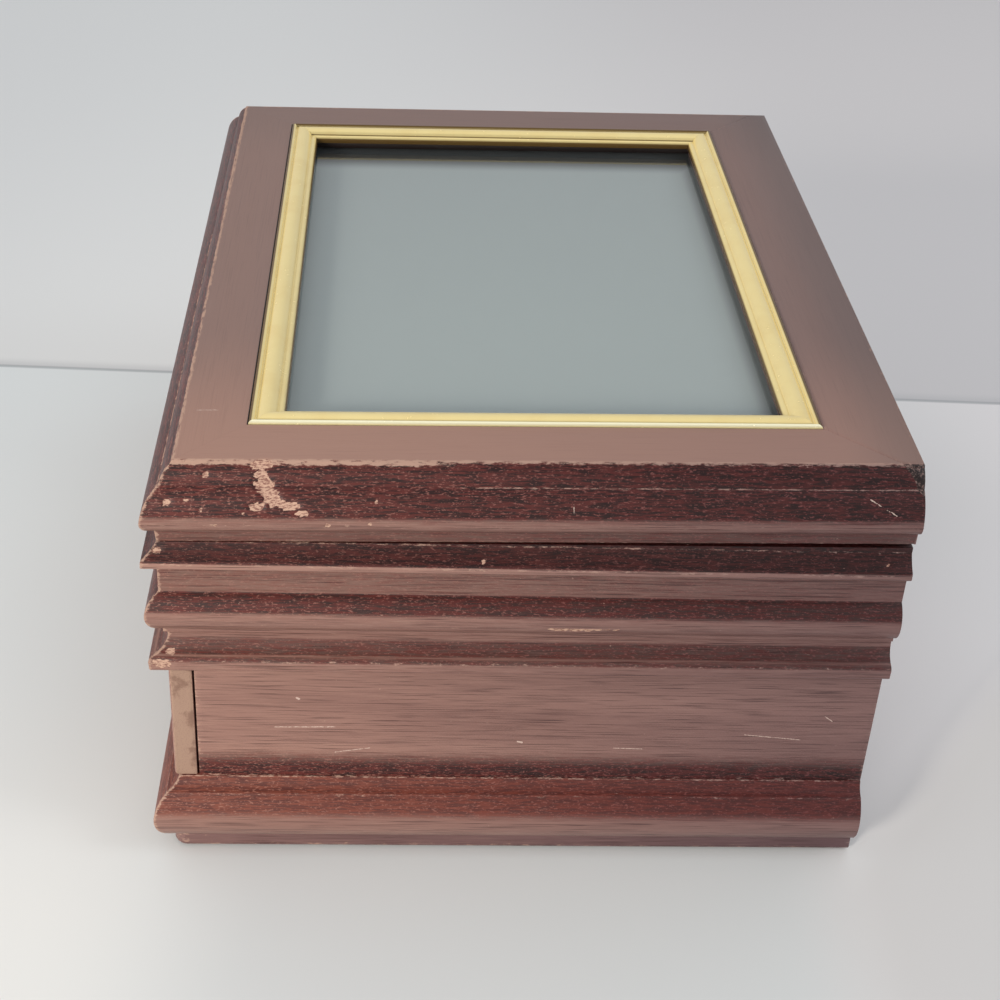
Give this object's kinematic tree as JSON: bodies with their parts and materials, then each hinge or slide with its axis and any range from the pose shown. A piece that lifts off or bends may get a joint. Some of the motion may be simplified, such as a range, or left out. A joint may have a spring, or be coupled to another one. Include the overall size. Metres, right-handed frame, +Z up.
{
  "type": "jewellery box",
  "caption": "Moulded wooden jewellery box with a hinged picture-frame lid over a lined compartment, and drawers side by side at the front.",
  "frame": {"origin": "on the surface it stands on, under the middle of the rectangle drawn by the lid's top arris", "axes": "+X to the box's right side, -Y towards the drawer fronts, +Z up"},
  "size_m": [0.2274, 0.1801, 0.1129],
  "materials": {
    "stained_wood": "reddish-brown stain, satin lacquer, worn",
    "dark_wood": "dark stain, satin",
    "plain_wood": "unfinished",
    "felt": "flocked felt",
    "felt_board": "board covered in felt",
    "gilt_metal": "gilt, satin polished",
    "brass": "plated, slightly dull",
    "steel": "zinc plated",
    "glass": "clear sheet glass",
    "card": "matte grey-green card"
  },
  "bodies": {
    "case": {"plinth_board": "dark_wood", "base_felt": "felt", "base_moulding_front": "stained_wood", "base_moulding_back": "stained_wood", "base_moulding_left": "stained_wood", "base_moulding_right": "stained_wood", "bottom_board": "plain_wood", "side_panel_left": "stained_wood", "side_panel_right": "stained_wood", "back_panel": "stained_wood", "drawer_partition": "plain_wood", "dust_board": "plain_wood", "cornice_front": "stained_wood", "cornice_left": "stained_wood", "cornice_right": "stained_wood", "compartment_felt": "felt", "long_divider": "felt_board", "cross_divider": "felt_board", "ring_cushion": "felt", "hinge_lower_leaf_left": "brass", "hinge_lower_leaf_right": "brass", "hinge_pin_left": "brass", "hinge_pin_right": "brass", "hinge_lower_screws": "brass"},
    "lid": {"lid_rail_front": "stained_wood", "lid_rail_back": "stained_wood", "lid_rail_left": "stained_wood", "lid_rail_right": "stained_wood", "gilt_trim_front": "gilt_metal", "gilt_trim_back": "gilt_metal", "gilt_trim_left": "gilt_metal", "gilt_trim_right": "gilt_metal", "picture_glass": "glass", "picture_card": "card", "picture_backing": "plain_wood", "backing_felt": "felt", "hinge_upper_leaf_left": "brass", "hinge_upper_leaf_right": "brass", "hinge_upper_screws": "brass", "turn_button_screws": "brass"},
    "left_drawer": {"left_drawer_front": "stained_wood", "left_drawer_inner_wall": "plain_wood", "left_drawer_outer_wall": "plain_wood", "left_drawer_back": "plain_wood", "left_drawer_bottom": "plain_wood", "left_drawer_felt": "felt", "left_drawer_knob": "brass", "left_drawer_knob_screw": "steel"},
    "right_drawer": {"right_drawer_front": "stained_wood", "right_drawer_inner_wall": "plain_wood", "right_drawer_outer_wall": "plain_wood", "right_drawer_back": "plain_wood", "right_drawer_bottom": "plain_wood", "right_drawer_felt": "felt", "right_drawer_knob": "brass", "right_drawer_knob_screw": "steel"},
    "turn_button_front_left": {"turn_button_front_left": "brass"},
    "turn_button_front_right": {"turn_button_front_right": "brass"},
    "turn_button_back_left": {"turn_button_back_left": "brass"},
    "turn_button_back_right": {"turn_button_back_right": "brass"}
  },
  "joints": [
    {"name": "lid_hinge", "type": "hinge", "parent": "case", "child": "lid", "pos_m": [0, 0.08425, 0.09342], "axis": [-1, 0, 0], "range_deg": [0, 100]},
    {"name": "left_drawer_slide", "type": "slide", "parent": "case", "child": "left_drawer", "axis": [0, -1, 0], "range_m": [0, 0.12]},
    {"name": "right_drawer_slide", "type": "slide", "parent": "case", "child": "right_drawer", "axis": [0, -1, 0], "range_m": [0, 0.12]},
    {"name": "turn_button_front_left_pivot", "type": "hinge", "parent": "lid", "child": "turn_button_front_left", "pos_m": [-0.055, -0.07112, 0.09817], "axis": [0, -0.0154, 0.9999], "range_deg": [-90, 90]},
    {"name": "turn_button_front_right_pivot", "type": "hinge", "parent": "lid", "child": "turn_button_front_right", "pos_m": [0.055, -0.07112, 0.09817], "axis": [0, -0.0154, 0.9999], "range_deg": [-90, 90]},
    {"name": "turn_button_back_left_pivot", "type": "hinge", "parent": "lid", "child": "turn_button_back_left", "pos_m": [-0.055, 0.06707, 0.1003], "axis": [0, -0.0154, 0.9999], "range_deg": [-90, 90]},
    {"name": "turn_button_back_right_pivot", "type": "hinge", "parent": "lid", "child": "turn_button_back_right", "pos_m": [0.055, 0.06707, 0.1003], "axis": [0, -0.0154, 0.9999], "range_deg": [-90, 90]}
  ]
}
